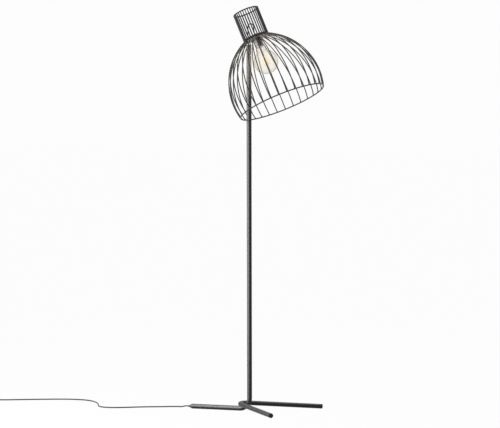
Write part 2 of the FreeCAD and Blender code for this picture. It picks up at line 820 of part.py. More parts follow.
def cord_coil():
    low = coil_lift
    high = coil_lift + coil_height
    inner = coil_radius - coil_width / 2
    outer = coil_radius + coil_width / 2
    r = cord_radius * 0.8
    k = r * (1 - math.sqrt(0.5))
    coil = lathe((inner + r, low), (outer - r, low), ((outer - k, low + k), (outer, low + r)),
                 (outer, high - r), ((outer - k, high - k), (outer - r, high)), (inner + r, high),
                 ((inner + k, high - k), (inner, high - r)), (inner, low + r), ((inner + k, low + k), (inner + r, low)))
    return placed(coil, coil_middle, FreeCAD.Rotation())


def coil_tie():
    half_inner = coil_width / 2 + tie_side_gap
    half_outer = half_inner + tie_wall
    top = coil_lift + coil_height + tie_gap
    wide = (-tie_width / 2, tie_width / 2)
    strap = block((-half_outer, half_outer), wide, (0, top + tie_wall))
    strap = strap.cut(block((-half_inner, half_inner), (wide[0] - 1, wide[1] + 1), (tie_wall, top)))
    strap.translate(point(coil_radius, 0, 0))
    return placed(strap, coil_middle, FreeCAD.Rotation(point(0, 0, 1), 75))


def stadium(inset, low, high):
    """Round-ended block of the foot switch's plan, this far inside its outer wall."""
    radius = switch_width / 2 - inset
    straight = (switch_length - switch_width) / 2
    middle = block((-straight, straight), (-radius, radius), (low, high))
    return middle.fuse(disc(radius, low, high, -straight)).fuse(disc(radius, low, high, straight)).removeSplitter()


def at_switch(shape):
    return placed(shape, point(switch_middle.x, switch_middle.y, 0), switch_turn)


def relief_bore():
    along = switch_length + 2
    return Part.makeCylinder(relief_spigot + 0.02, along, point(-along / 2, 0, switch_entry_height), point(1, 0, 0))


def screw_places():
    return [-switch_screw_offset, switch_screw_offset]


def switch_base():
    base = stadium(0, 0, switch_base_height).cut(stadium(switch_wall, switch_wall, switch_base_height + 1))
    for x in screw_places():
        base = base.fuse(disc(switch_boss_radius, 0, switch_wall + 0.5, x))
        base = base.cut(disc(switch_screw_radius + 0.05, -1, switch_base_height + 1, x))
        base = base.cut(disc(2 * switch_screw_radius + 0.1, -1, switch_wall * 0.6, x))
    return at_switch(base.cut(relief_bore()))


def switch_cover():
    low = switch_base_height + switch_seam
    cover = stadium(0, low, switch_height)
    top_edges = [edge for edge in cover.Edges if min(v.Z for v in edge.Vertexes) > switch_height - 0.01]
    cover = cover.makeFillet(switch_top_round, top_edges)
    cover = cover.cut(stadium(switch_wall, low - 1, switch_height - switch_wall))
    for x in screw_places():
        boss_floor = relief_spigot + switch_entry_height + 0.3
        cover = cover.fuse(disc(switch_boss_radius, boss_floor, switch_height - switch_wall, x))
        cover = cover.cut(disc(switch_screw_radius, boss_floor - 1, switch_height - 2 * switch_wall, x))
    cover = cover.cut(disc(button_radius + button_gap, switch_height - 3 * switch_wall, switch_height + 1))
    return at_switch(cover.cut(relief_bore()))


def switch_button():
    top = switch_height + button_stand
    flange_top = switch_height - switch_wall - button_gap
    flange_low = flange_top - button_flange_thickness
    inner_top = top - switch_wall
    plunger_low = switch_wall + switch_block_height + button_travel + 1.0
    return at_switch(lathe(
        (0, top), (button_radius - 1.5, top), ((button_radius - 0.44, top - 0.44), (button_radius, top - 1.5)),
        (button_radius, flange_top), (button_radius + button_flange, flange_top),
        (button_radius + button_flange, flange_low), (button_radius - switch_wall, flange_low),
        (button_radius - switch_wall, inner_top), (2.5, inner_top), (2.5, plunger_low), (0, plunger_low)))


def switch_spring():
    """Open coil, each turn made of short tangent arcs."""
    low = switch_wall + switch_block_height + spring_wire
    high = switch_height + button_stand - switch_wall - spring_wire
    steps = round(spring_turns * spring_sides)
    corner_radius = spring_radius / math.cos(math.pi / spring_sides)
    corners = []
    for step in range(steps + 1):
        turn = 2 * math.pi * step / spring_sides
        corners.append(point(corner_radius * math.cos(turn), corner_radius * math.sin(turn),
                             low + (high - low) * step / steps))
    path = rounded_path(corners, [0.95 * spring_radius] * (steps - 1))
    return at_switch(bar(path, spring_wire, corners[0], corners[1].sub(corners[0])))


def switch_block():
    return at_switch(block((-switch_block_length / 2, switch_block_length / 2),
                           (-switch_block_width / 2, switch_block_width / 2),
                           (switch_wall, switch_wall + switch_block_height)))


def switch_terminals():
    pair = []
    for side in (-1, 1):
        middle = side * (switch_block_length / 2 - 4)
        clamp = block((middle - 3, middle + 3), (-4, 4),
                      (switch_wall + switch_block_height, switch_wall + switch_block_height + 3))
        pair.append(at_switch(clamp.cut(disc(1.2, switch_block_height, switch_block_height + 9, middle))))
    return Part.makeCompound(pair)


def switch_screws():
    pair = []
    for x in screw_places():
        head_low = 0.3
        head_high = switch_wall * 0.6
        tip = switch_height - 2 * switch_wall - 1
        screw = disc(2 * switch_screw_radius, head_low, head_high, x).fuse(
            disc(switch_screw_radius - 0.02, head_high, tip, x))
        slot = block((x - 2.2, x + 2.2), (-0.4, 0.4), (0, head_low + 0.4))
        pair.append(at_switch(screw.cut(slot).removeSplitter()))
    return Part.makeCompound(pair)


def switch_relief(side):
    """Tapered sleeve moulded on the cord; its flange sits inside the end wall."""
    wall_out = switch_length / 2
    wall_in = wall_out - switch_wall - 0.8
    tip = wall_out + relief_length
    sleeve = lathe((0, wall_in - 1.2), (relief_spigot + 0.4, wall_in - 1.2), (relief_spigot + 0.4, wall_in),
                   (relief_spigot, wall_in), (relief_spigot, wall_out), (relief_spigot + 1.2, wall_out),
                   (relief_spigot + 1.2, wall_out + 2), (cord_radius + 0.8, tip), (0, tip))
    return at_switch(placed(sleeve, point(0, 0, switch_entry_height), turned_to(point(side, 0, 0))))


plug_entry = plug_points[-1]
plug_heading = unit(point(plug_entry.x - plug_points[-2].x, plug_entry.y - plug_points[-2].y, 0))
plug_turn = FreeCAD.Rotation(point(0, 0, 1), math.degrees(math.atan2(plug_heading.y, plug_heading.x)))


def at_plug(shape):
    """Drawn with the plug's back face at x = 0, the pins towards +X and the floor at z = 0."""
    back = plug_entry.add(plug_heading * plug_relief_length)
    return placed(shape, point(back.x, back.y, 0), plug_turn)


def plug_pin_bars():
    start = plug_length - pin_root
    for side in (-1, 1):
        yield Part.makeCylinder(pin_radius, pin_root + pin_length,
                                point(start, side * pin_spacing / 2, plug_thickness / 2), point(1, 0, 0))


def plug_body():
    waist = plug_width / 2
    nose = plug_nose_width / 2
    half = [(0, 8), (plug_length * 0.28, waist), (plug_length * 0.7, waist), (plug_length, nose)]
    corners = [point(x, y, 0) for x, y in half] + [point(x, -y, 0) for x, y in reversed(half)]
    body = Part.Face(Part.makePolygon(corners + corners[:1])).extrude(point(0, 0, plug_thickness))
    uprights = [edge for edge in body.Edges if abs(edge.Vertexes[0].Z - edge.Vertexes[1].Z) > 1]
    body = body.makeFillet(3.0, uprights)
    body = body.makeFillet(1.6, [edge for edge in body.Edges if abs(edge.BoundBox.ZLength) < 0.01])
    for pin in plug_pin_bars():
        body = body.cut(pin)
    return at_plug(body)


def plug_pins():
    return Part.makeCompound([at_plug(pin) for pin in plug_pin_bars()])


def plug_relief():
    sleeve = lathe((0, 0), (5.4, 0), (cord_radius + 0.8, plug_relief_length), (0, plug_relief_length))
    return at_plug(placed(sleeve, point(0, 0, plug_thickness / 2), turned_to(point(-1, 0, 0))))


# ---------------------------------------------------------------- nodes
quarter = wire_count // 4
nodes = {
    "pole_lower_and_leg": pole_lower(),
    "pole_upper": pole_upper(),
    "pole_coupling": pole_coupling(),
    "leg_vee": leg_vee(),
    "vee_leg_weld": vee_leg_weld(),
    "vee_end_cap_rear": vee_end_cap(1),
    "vee_end_cap_front": vee_end_cap(-1),
    "leg_cord_gland": leg_gland(),
    "pole_lug": pole_lug(),
    "lug_set_screw": lug_set_screw(),
    "pole_lead": pole_lead(),
    "shade_wires_back_left": shade_wires(-quarter, 0),
    "shade_wires_back_right": shade_wires(0, quarter),
    "shade_wires_front_right": shade_wires(quarter, 2 * quarter),
    "shade_wires_front_left": shade_wires(2 * quarter, wire_count - quarter),
    "shade_rim_ring": hoop(rim_radius, -dome_length),
    "collar_top_ring": hoop(collar_radius, collar_length),
    "collar_plate": collar_plate(),
    "hinge_bracket_left": hinge_bracket(1),
    "hinge_bracket_right": hinge_bracket(-1),
    "bracket_rivets": bracket_rivets(),
    "hinge_washers": hinge_washers(),
    "hinge_bolt": hinge_bolt(),
    "hinge_lock_nut": hinge_lock_nut(),
    "head_lead": head_lead(),
    "holder_nipple": holder_nipple(),
    "nipple_washer": nipple_washer(),
    "nipple_nut": nipple_nut(),
    "lead_bush": lead_bush(),
    "holder_cup": holder_cup(),
    "holder_core": holder_core(),
    "socket_shell": socket_shell(),
    "socket_contact": socket_contact(),
    "holder_terminals": holder_terminals(),
    "bulb_contact": bulb_contact(),
    "bulb_insulator": bulb_insulator(),
    "bulb_cap": bulb_cap(),
    "bulb_glass": bulb_glass(),
    "bulb_stem": bulb_stem(),
    "bulb_support": bulb_support(),
    "bulb_filaments": bulb_filaments(),
    "mains_cord": cord_tube("mains_cord", cord_points),
    "cord_tail": cord_tube("cord_tail", tail_points),
    "plug_cord": cord_tube("plug_cord", plug_points),
    "cord_coil": cord_coil(),
    "coil_tie": coil_tie(),
    "switch_base": switch_base(),
    "switch_cover": switch_cover(),
    "switch_button": switch_button(),
    "switch_spring": switch_spring(),
    "switch_block": switch_block(),
    "switch_terminals": switch_terminals(),
    "switch_screws": switch_screws(),
    "switch_relief_in": switch_relief(-1),
    "switch_relief_out": switch_relief(1),
    "plug_body": plug_body(),
    "plug_pins": plug_pins(),
    "plug_relief": plug_relief(),
}

os.makedirs("parts", exist_ok=True)
for name, shape in nodes.items():
    shape = shape.copy()
    shape.translate(point(-origin_x, 0, 0))
    shape.exportStep(os.path.join("parts", name + ".step"))

print("nodes", len(nodes), "origin_x %.3f" % origin_x)
print("pivot", round(pivot_forward - origin_x, 3), 0, round(pivot_height, 3))
print("shade foot", round(shade_x - origin_x, 3), round(shade_height, 3))
print("exit", round(exit_x - origin_x, 3), leg_height)
print("switch", round(switch_middle.x - origin_x, 3), round(switch_middle.y, 3), "coil",
      round(coil_middle.x - origin_x, 3), round(coil_middle.y, 3))
print("vee end", round(vee_slope, 3), round(vee_apex_height, 3))
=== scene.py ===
"""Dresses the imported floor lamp: finishes, mains flex, small pieces, light and camera."""
import json
import math

import bmesh
import bpy
from mathutils import Euler, Matrix, Vector


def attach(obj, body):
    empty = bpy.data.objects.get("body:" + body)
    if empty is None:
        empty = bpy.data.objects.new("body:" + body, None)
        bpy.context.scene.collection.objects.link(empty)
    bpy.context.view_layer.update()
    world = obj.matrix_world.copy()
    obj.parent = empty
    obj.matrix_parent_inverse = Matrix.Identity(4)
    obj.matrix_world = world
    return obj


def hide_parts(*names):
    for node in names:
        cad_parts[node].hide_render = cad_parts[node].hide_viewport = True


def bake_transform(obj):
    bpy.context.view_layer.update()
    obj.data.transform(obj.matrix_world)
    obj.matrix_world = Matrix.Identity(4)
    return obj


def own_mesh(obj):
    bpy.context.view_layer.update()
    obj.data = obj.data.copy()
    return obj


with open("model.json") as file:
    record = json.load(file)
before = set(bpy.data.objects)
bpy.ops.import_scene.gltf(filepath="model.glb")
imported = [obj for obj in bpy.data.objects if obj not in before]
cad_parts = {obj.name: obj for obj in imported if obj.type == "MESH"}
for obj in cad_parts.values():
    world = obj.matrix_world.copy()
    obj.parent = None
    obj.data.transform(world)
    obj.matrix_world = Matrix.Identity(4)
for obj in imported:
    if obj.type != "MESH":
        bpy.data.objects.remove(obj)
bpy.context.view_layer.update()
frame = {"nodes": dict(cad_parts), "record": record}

MM = 0.001
pole_axis = Vector((-16.084, 0, 0)) * MM
shade_foot = Vector((16.134, 0, 1439.159)) * MM
lean = math.radians(24.2)
head_place = Matrix.Translation(shade_foot) @ Matrix.Rotation(-lean, 4, "Y")


def in_scene(made):
    """Links an object into the scene."""
    bpy.context.scene.collection.objects.link(made)
    return made


# ------------------------------------------------------------ camera
def stand_camera():
    turn = math.radians(27.2)
    distance, height = 13.35, 1.232
    tip, aside, roll = 0.03517, 0.000217, -0.0019
    lens = bpy.data.cameras.new("camera")
    lens.sensor_width = 36
    lens.lens = 249.62
    lens.clip_end = 200
    camera = in_scene(bpy.data.objects.new("camera", lens))
    place = pole_axis + Vector((math.sin(turn) * distance, -math.cos(turn) * distance, height))
    look = Euler((math.pi / 2 - tip, 0, turn - aside)).to_matrix().to_4x4()
    camera.matrix_world = Matrix.Translation(place) @ look @ Matrix.Rotation(roll, 4, "Z")
    bpy.context.scene.camera = camera
    bpy.context.scene.view_settings.view_transform = "Standard"


stand_camera()


# ------------------------------------------------------------ shader helpers
class Wire:
    """An output of a shader node.  Arithmetic on it adds Math nodes."""

    def __init__(self, nodes, socket):
        self.nodes = nodes
        self.socket = socket

    def maths(self, operation, first, second):
        return self.nodes.node("ShaderNodeMath", {"operation": operation}, {0: first, 1: second})

    def __add__(self, other):
        return self.maths("ADD", self, other)

    def __mul__(self, other):
        return self.maths("MULTIPLY", self, other)

    def __pow__(self, other):
        return self.maths("POWER", self, other)

    def least(self, other):
        return self.maths("MINIMUM", self, other)

    __radd__ = __add__


class Nodes:
    """The node tree of a material or of the world, under construction."""

    def __init__(self, owner):
        self.owner = owner
        owner.use_nodes = True
        self.tree = owner.node_tree
        self.tree.nodes.clear()

    def node(self, kind, settings=None, inputs=None, output=0):
        made = self.tree.nodes.new(kind)
        for name, value in (settings or {}).items():
            setattr(made, name, value)
        for name, value in (inputs or {}).items():
            if isinstance(value, Wire):
                self.tree.links.new(value.socket, made.inputs[name])
            else:
                made.inputs[name].default_value = value
        return Wire(self, made.outputs[output]) if made.outputs else None

    def place(self):
        return self.node("ShaderNodeTexCoord", output="Object")

    def noise(self, scale, detail=2.0, roughness=0.5):
        return self.node("ShaderNodeTexNoise", None, {
            "Vector": self.place(), "Scale": scale, "Detail": detail, "Roughness": roughness})

    def blend(self, factor, first, second):
        """Colour between two colours."""
        return self.node("ShaderNodeMix", {"data_type": "RGBA"}, {0: factor, 6: first, 7: second}, 2)

    def bump(self, height, strength, distance):
        return self.node("ShaderNodeBump", None, {
            "Height": height, "Strength": strength, "Distance": distance})

    def surface(self, **inputs):
        """Principled surface; a socket's name is written with underscores."""
        named = {name.replace("_", " "): value for name, value in inputs.items()}
        shader = self.node("ShaderNodeBsdfPrincipled", None, named)
        self.node("ShaderNodeOutputMaterial", None, {"Surface": shader})
        return self.owner


def new_finish(name):
    return Nodes(bpy.data.materials.new(name))


def grey(value, warmth=0.0):
    """Grey colour, its red raised and its blue lowered by the warmth."""
    return (value * (1 + warmth), value, value * (1 - warmth), 1)


# ------------------------------------------------------------ finishes
def powder_coat(name, tone, gloss, shine):
    """Satin powder coat: orange peel, a faint drift in tone and in gloss (its roughness)."""
    coat = new_finish(name)
    drift = coat.noise(7, 3)
    peel = coat.noise(620, 2)
    grit = coat.noise(3100, 1)
    return coat.surface(
        Base_Color=coat.blend(drift * 0.7 + grit * 0.3, grey(tone * 0.85), grey(tone * 1.15)),
        Roughness=gloss + drift * 0.05 + peel * 0.03,
        Specular_IOR_Level=shine,
        Normal=coat.bump(peel * 0.8 + grit * 0.2, 0.12, 0.00004))


def moulded(name, tone, gloss, grain):
    """Plastic with a fine eroded grain from the mould."""
    plastic = new_finish(name)
    erosion = plastic.noise(1900, 3, 0.65)
    patch = plastic.noise(24, 2)
    return plastic.surface(
        Base_Color=plastic.blend(patch, grey(tone * 0.85), grey(tone * 1.2)),
        Specular_IOR_Level=0.25,
        Roughness=gloss + patch * 0.08 + erosion * 0.06,
        Normal=plastic.bump(erosion, grain, 0.00015))


def sheath(name, tone):
    """Round cable sheath, slightly wavy over its cores."""
    cable = new_finish(name)
    wave = cable.noise(150, 2)
    skin = cable.noise(2400, 2)
    return cable.surface(
        Base_Color=cable.blend(wave, grey(tone * 0.85), grey(tone * 1.2)),
        Roughness=0.42 + skin * 0.12,
        Normal=cable.bump(wave * 0.8 + skin * 0.2, 0.12, 0.0001))


def plated(name, colour, gloss, streak=0.12):
    """Plated or drawn metal with fine streaks."""
    metal = new_finish(name)
    stretched = metal.node("ShaderNodeMapping", None, {"Vector": metal.place(), "Scale": (900, 900, 60)})
    streaks = metal.node("ShaderNodeTexNoise", None, {"Vector": stretched, "Scale": 1.0, "Detail": 3.0})
    stain = metal.noise(120, 3)
    dull = tuple(channel * 0.72 for channel in colour[:3]) + (1,)
    return metal.surface(
        Base_Color=metal.blend(stain, dull, colour),
        Metallic=1.0,
        Roughness=gloss + streaks * streak + stain * 0.08,
        Normal=metal.bump(streaks, 0.12, 0.00008))


def glazed(name, tone):
    """Porcelain under a clear glaze, with faint specks."""
    clay = new_finish(name)
    speck = clay.noise(800, 3)
    return clay.surface(
        Base_Color=clay.blend(speck, grey(tone * 0.9, warmth=0.03), grey(tone, warmth=0.02)),
        Roughness=0.16 + speck * 0.1,
        Coat_Weight=0.4,
        Normal=clay.bump(speck, 0.1, 0.0001))


def clear_glass(name):
    """Thin blown glass: a faint veil, denser and darker where it turns away, with a painted warm glow of
    the lit filaments over its face.
    """
    glass = new_finish(name)
    rim = glass.node("ShaderNodeLayerWeight", None, {"Blend": 0.5}, "Facing")
    seeds = glass.noise(60, 2)
    return glass.surface(
        Base_Color=glass.blend(rim ** 2.0, (0.16, 0.14, 0.11, 1), (0.05, 0.045, 0.035, 1)),
        Roughness=0.04 + seeds * 0.04,
        IOR=1.5,
        Specular_IOR_Level=0.3,
        Alpha=0.055 + seeds * 0.03 + rim ** 2.5 * 0.5,
        # Painted glow: the face glows warm cream and fades to dark brown at the rim, standing in for the
        # filaments' light seen in the glass.
        Emission_Color=glass.blend(rim ** 2.0, (1.0, 0.83, 0.5, 1), (0.06, 0.05, 0.035, 1)),
        Emission_Strength=0.62)


def glowing(name):
    """Phosphor skin of a lit filament, slightly uneven in colour."""
    lit = new_finish(name)
    beads = lit.noise(900, 1)
    return lit.surface(
        Base_Color=lit.blend(beads, (0.95, 0.74, 0.36, 1), (1.0, 0.84, 0.5, 1)),
        Roughness=0.5 + beads * 0.2,
        Emission_Color=lit.blend(beads, (1.0, 0.8, 0.46, 1), (1.0, 0.88, 0.6, 1)),
        Emission_Strength=0.4)


finishes = {
    "stand_black": powder_coat("stand_powder_coat", tone=0.012, gloss=0.36, shine=0.2),
    "shade_black": powder_coat("cage_powder_coat", tone=0.022, gloss=0.32, shine=0.32),
    "zinc_steel": plated("zinc_plating", (0.6, 0.6, 0.62, 1), gloss=0.28),
    "cap_plastic": moulded("cap_plastic", tone=0.012, gloss=0.42, grain=0.35),
    "cord_black": sheath("flex_sheath", tone=0.02),
    "brass": plated("turned_brass", (0.78, 0.58, 0.3, 1), gloss=0.25),
    "ceramic": glazed("white_porcelain", tone=0.85),
    "bulb_cap_metal": plated("nickel_cap", (0.74, 0.73, 0.7, 1), gloss=0.22),
    "clear_glass": clear_glass("bulb_glass"),
    "filament_yellow": glowing("lit_filament"),
}

node_slots = {part["node"]: part["material_slot"] for part in frame["record"]["subparts"]}
for name, piece in frame["nodes"].items():
    for surface in piece.material_slots:
        surface.material = finishes[node_slots[name]]


# ------------------------------------------------------------ mains flex
flex_diameter = 0.005
gland_tip = Vector((-284.584, 0, 0)) * MM
switch_heading = Vector((-0.8, -0.6, 0))
switch_length = 0.124
switch_inlet = gland_tip + Vector((-892, -61, 0)) * MM
switch_outlet = switch_inlet + switch_heading * switch_length
switch_middle = switch_inlet + switch_heading * (switch_length / 2)
coil_middle = switch_outlet + Vector((59.9, -44.5, 0)) * MM

floor_route = [
    (0.0, 0.0, 10.3), (-13.0, 0.0, 10.6), (-27.0, -0.6, 6.4), (-52.0, 3.0, 5.9),
    (-82.0, -2.0, 5.0), (-116.0, -9.4, 3.4), (-154.0, -21.0, 2.6), (-195.0, -52.0, 2.6),
    (-232.0, -91.0, 2.6), (-272.0, -119.0, 2.6), (-322.0, -118.0, 2.6), (-360.0, -77.0, 2.6),
    (-394.0, -15.0, 2.6), (-433.0, 41.0, 2.6), (-478.0, 92.0, 2.6), (-532.0, 127.0, 2.6),
    (-590.0, 134.0, 2.6), (-643.0, 117.0, 2.6), (-691.0, 88.0, 2.6), (-742.0, 54.0, 2.6),
    (-793.0, 15.0, 2.6), (-838.0, -20.0, 2.6), (-867.0, -42.3, 5.9), (-892.0, -61.0, 6.5)]
tail_route = [
    (0.0, 0.0, 6.5), (-13.7, -10.3, 6.3), (-20.5, -28.5, 4.2), (-15.5, -48.8, 2.6),
    (-1.5, -65.6, 2.6), (17.8, -77.3, 2.6), (38.9, -83.6, 2.7), (59.0, -82.6, 3.1)]
plug_route = [
    (-15.7, -14.7, 3.5), (-8.4, -19.7, 5.2), (0.4, -21.4, 7.3), (10.5, -23.2, 8.7), (34.6, -21.3, 8.7),
    (57.0, -16.8, 6.0), (77.6, -21.9, 6.7), (95.1, -32.0, 6.85)]


def coil_turns():
    """Nearly three flat turns, wound inwards."""
    start, turns, per_turn = math.radians(295), 2.8, 15
    outer, pitch, height = 35.0, 5.1, 3.3
    swell = 1 / math.cos(math.pi / per_turn)
    for step in range(round(turns * per_turn)):
        wound = step / per_turn
        radius = (outer - pitch * wound) * swell
        angle = start + 2 * math.pi * wound
        yield radius * math.cos(angle), radius * math.sin(angle), height


def laid(route, start):
    """A route's points in metres, from its start."""
    return [start + Vector(point) * MM for point in route]


def flex_curve(name, points, thickness):
    """Round flex on one smooth spline."""
    line = bpy.data.curves.new(name, "CURVE")
    line.dimensions = "3D"
    spline = line.splines.new("NURBS")
    spline.points.add(len(points) - 1)
    for knot, point in zip(spline.points, points):
        knot.co = (*point, 1)
    spline.order_u = 3
    spline.use_endpoint_u = True
    spline.resolution_u = 10
    line.bevel_depth = thickness / 2
    line.bevel_resolution = 5
    line.use_fill_caps = True
    return in_scene(bpy.data.objects.new(name, line))


def dress(piece, slot, body, *nodes):
    """Finish, material slot, body and the nodes that the piece stands for."""
    piece.data.materials.clear()
    piece.data.materials.append(finishes[slot])
    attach(piece, body)
    if nodes:
        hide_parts(*nodes)
    return piece


flex_points = (laid(floor_route, gland_tip) + laid(tail_route, switch_outlet)
               + laid(coil_turns(), coil_middle) + laid(plug_route, coil_middle))
mains_flex = flex_curve("mains_flex", flex_points, flex_diameter)
dress(mains_flex, "cord_black", "stand", "mains_cord", "cord_tail", "cord_coil", "plug_cord")


# ------------------------------------------------------------ small pieces
def keep_mesh(name, shape, smooth=True):
    """Object from a bmesh."""
    mesh = bpy.data.meshes.new(name)
    shape.to_mesh(mesh)
    shape.free()
    for face in mesh.polygons:
        face.use_smooth = smooth
    return in_scene(bpy.data.objects.new(name, mesh))


def keep_line(name, line):
    """Mesh object in place of a curve, which goes."""
    mesh = bpy.data.meshes.new_from_object(line)
    bpy.data.objects.remove(line)
    return in_scene(bpy.data.objects.new(name, mesh))


def band(shape, lower, upper):
    """Faces between two closed rows of as many points."""
    for i in range(len(lower)):
        shape.faces.new([lower[i - 1], lower[i], upper[i], upper[i - 1]])


def turned(name, profile, place, steps=64, sharp=35):
    """Piece turned round Z from (radius, height) pairs in millimetres, then put in place."""
    shape = bmesh.new()
    loops = []
    for radius, height in profile:
        if radius < 1e-6:
            loops.append([shape.verts.new((0, 0, height * MM))])
            continue
        loops.append([shape.verts.new((radius * MM * math.cos(2 * math.pi * i / steps),
                                       radius * MM * math.sin(2 * math.pi * i / steps), height * MM))
                      for i in range(steps)])
    for lower, upper in zip(loops, loops[1:]):
        for i in range(steps):
            j = (i + 1) % steps
            corners = [lower[i % len(lower)], lower[j % len(lower)],
                       upper[j % len(upper)], upper[i % len(upper)]]
            corners = [corner for k, corner in enumerate(corners) if corner not in corners[:k]]
            if len(corners) > 2:
                shape.faces.new(corners)
    bmesh.ops.recalc_face_normals(shape, faces=shape.faces)
    for edge in shape.edges:
        if len(edge.link_faces) == 2 and edge.calc_face_angle() > math.radians(sharp):
            edge.smooth = False
    shape.transform(place)
    return keep_mesh(name, shape)


def aimed(start, direction):
    """Z axis along a direction, from a point."""
    return Matrix.Translation(start) @ direction.to_track_quat("Z", "Y").to_matrix().to_4x4()


def ribbed_sleeve(root, tip, length, ribs, collar):
    """Profile of a tapered strain relief with grooves between its ribs."""
    groove, lip, edge = 0.9, 2.5, 0.6
    profile = [(root, 0), (root, collar)]
    pitch = (length - collar - lip) / ribs
    for rib in range(ribs):
        low = collar + rib * pitch
        wide = root + (tip - root) * (low - collar) / (length - collar) - 0.2
        profile += [(wide - groove, low), (wide - groove, low + pitch * 0.34),
                    (wide, low + pitch * 0.42), (wide, low + pitch * 0.94)]
    profile += [(tip, length - lip), (tip, length - edge), (tip - 0.5, length), (0, length)]
    return profile


def switch_reliefs():
    """Tapered sleeve on the flex at each end of the foot switch."""
    wall, height = 42 * MM, Vector((0, 0, 6.5)) * MM
    spigot = [(0, -4), (4.4, -4), (4.4, -2.8), (4.0, -2.8), (4.0, 0)]
    profile = spigot + ribbed_sleeve(root=5.2, tip=3.3, length=20, ribs=5, collar=2.0)
    for name, node, way in (("inlet_relief", "switch_relief_in", -1),
                            ("outlet_relief", "switch_relief_out", 1)):
        start = switch_middle + switch_heading * way * wall + height
        dress(turned(name, profile, aimed(start, switch_heading * way)), "cord_black", "stand", node)


def leg_end():
    """Moulded end of the leg: a rounded taper that closes round the flex."""
    length, height = 22.0, 10.3
    spigot = [(0, -14), (7.6, -14), (7.9, -13.5), (7.9, 0)]
    taper = [(9.3, 0), (9.6, 0.35), (9.62, 1.6), (9.45, 3.4), (8.95, 5.6), (8.1, 7.9), (7.0, 10.1),
             (5.8, 12.2), (4.9, 13.9), (4.4, 15.4), (4.15, 17.0)]
    neck = [(3.85, 17.3), (3.85, 18.1), (4.0, 18.4), (3.85, 19.6), (3.55, 19.9), (3.55, 20.6),
            (3.65, 20.9), (3.4, 21.7), (3.1, length), (0, length)]
    tube_end = gland_tip + Vector((length, 0, height)) * MM
    dress(turned("leg_end", spigot + taper + neck, aimed(tube_end, Vector((-1, 0, 0)))),
          "cap_plastic", "stand", "leg_cord_gland")


def arm_caps():
    """Domed plug in the open end of each arm of the foot, hardly wider than its tube."""
    slope, half_angle = math.radians(5.05), math.radians(39.5)
    bend_radius, arm = 48.0, 284.0
    reach = bend_radius * (1 - math.sin(half_angle)) + arm * math.cos(half_angle)
    aside = bend_radius * math.cos(half_angle) + arm * math.sin(half_angle)
    tilt = Matrix.Rotation(slope, 4, "Y")
    apex = pole_axis + Vector((-34, 0, 30.63)) * MM
    spigot = [(0, -15.0), (7.2, -15.0), (7.2, 0)]
    dome = [(8.9, 0), (9.2, 0.3), (9.2, 1.8), (8.95, 2.9), (8.3, 3.6), (7.0, 4.1), (4.6, 4.5), (0, 4.6)]
    for name, node, side in (("arm_cap_rear", "vee_end_cap_rear", 1),
                             ("arm_cap_front", "vee_end_cap_front", -1)):
        end = apex + tilt @ (Vector((reach, side * aside, 0)) * MM)
        along = tilt @ Vector((math.cos(half_angle), side * math.sin(half_angle), 0))
        dress(turned(name, spigot + dome, aimed(end, along)), "cap_plastic", "stand", node)


def rounded_outline(corners, radii, step):
    """Points and outward normals along an anticlockwise polygon with rounded corners, in millimetres."""
    arcs = []
    for number, radius in enumerate(radii):
        here, before = Vector(corners[number]), Vector(corners[number - 1])
        after = Vector(corners[(number + 1) % len(corners)])
        arrive, leave = (here - before).normalized(), (after - here).normalized()
        bend = -arrive.angle_signed(leave)
        middle = here - arrive * radius * math.tan(bend / 2) + Vector((-arrive.y, arrive.x)) * radius
        first = math.atan2(-arrive.x, arrive.y)
        slices = max(3, round(bend * radius / step))
        angles = [first + bend * piece / slices for piece in range(slices + 1)]
        normals = [Vector((math.cos(angle), math.sin(angle))) for angle in angles]
        arcs.append([(middle + normal * radius, normal) for normal in normals])
    points = []
    for arc, following in zip(arcs, arcs[1:] + arcs[:1]):
        end, normal = arc[-1]
        side = following[0][0] - end
        pieces = max(1, round(side.length / step))
        points += arc
        points += [(end + side.normalized() * piece * step, normal) for piece in range(1, pieces)]
    return points


def coil_strap():
    """Hook and loop strap round the coil's turns, its end laid back over the top."""
    half_span, top, cloth, half_width, corner = 8.8, 6.75, 0.85, 3.4, 2.6
    edge, step = 0.2, 0.5
    ring = rounded_outline([(-half_span, 0), (half_span, 0), (half_span, top), (-half_span, top)],
                           [corner] * 4, step)
    outer = [(edge, -half_width), (0, edge - half_width), (0, half_width - edge), (edge, half_width)]
    section = outer + [(cloth - inset, across) for inset, across in reversed(outer)]
    shape = bmesh.new()
    loops = [[shape.verts.new((point.x - normal.x * inset, across, point.y - normal.y * inset))
              for point, normal in ring] for inset, across in section]
    for here, after in zip(loops, loops[1:] + loops[:1]):
        band(shape, here, after)
    back, front, side, nick = -5.5, 5.0, 3.1, 0.5
    flap = rounded_outline([(back, -side), (front, -side), (front, side), (back, side)],
                           [nick, corner, corner, nick], step)
    levels = [[shape.verts.new((*(point - normal * inset), top + height)) for point, normal in flap]
              for inset, height in ((0, -0.2), (0, 0.4), (0.2, 0.6))]
    for lower, upper in zip(levels, levels[1:]):
        band(shape, lower, upper)
    shape.faces.new(levels[0])
    shape.faces.new(levels[-1])
    bmesh.ops.recalc_face_normals(shape, faces=shape.faces)
    turn, turns_middle = math.radians(75), 28 * MM
    middle = coil_middle + Vector((math.cos(turn), math.sin(turn), 0)) * turns_middle
    shape.transform(Matrix.Translation(middle) @ Matrix.Rotation(turn, 4, "Z") @ Matrix.Scale(MM, 4))
    dress(keep_mesh("coil_strap", shape), "cord_black", "stand", "coil_tie")


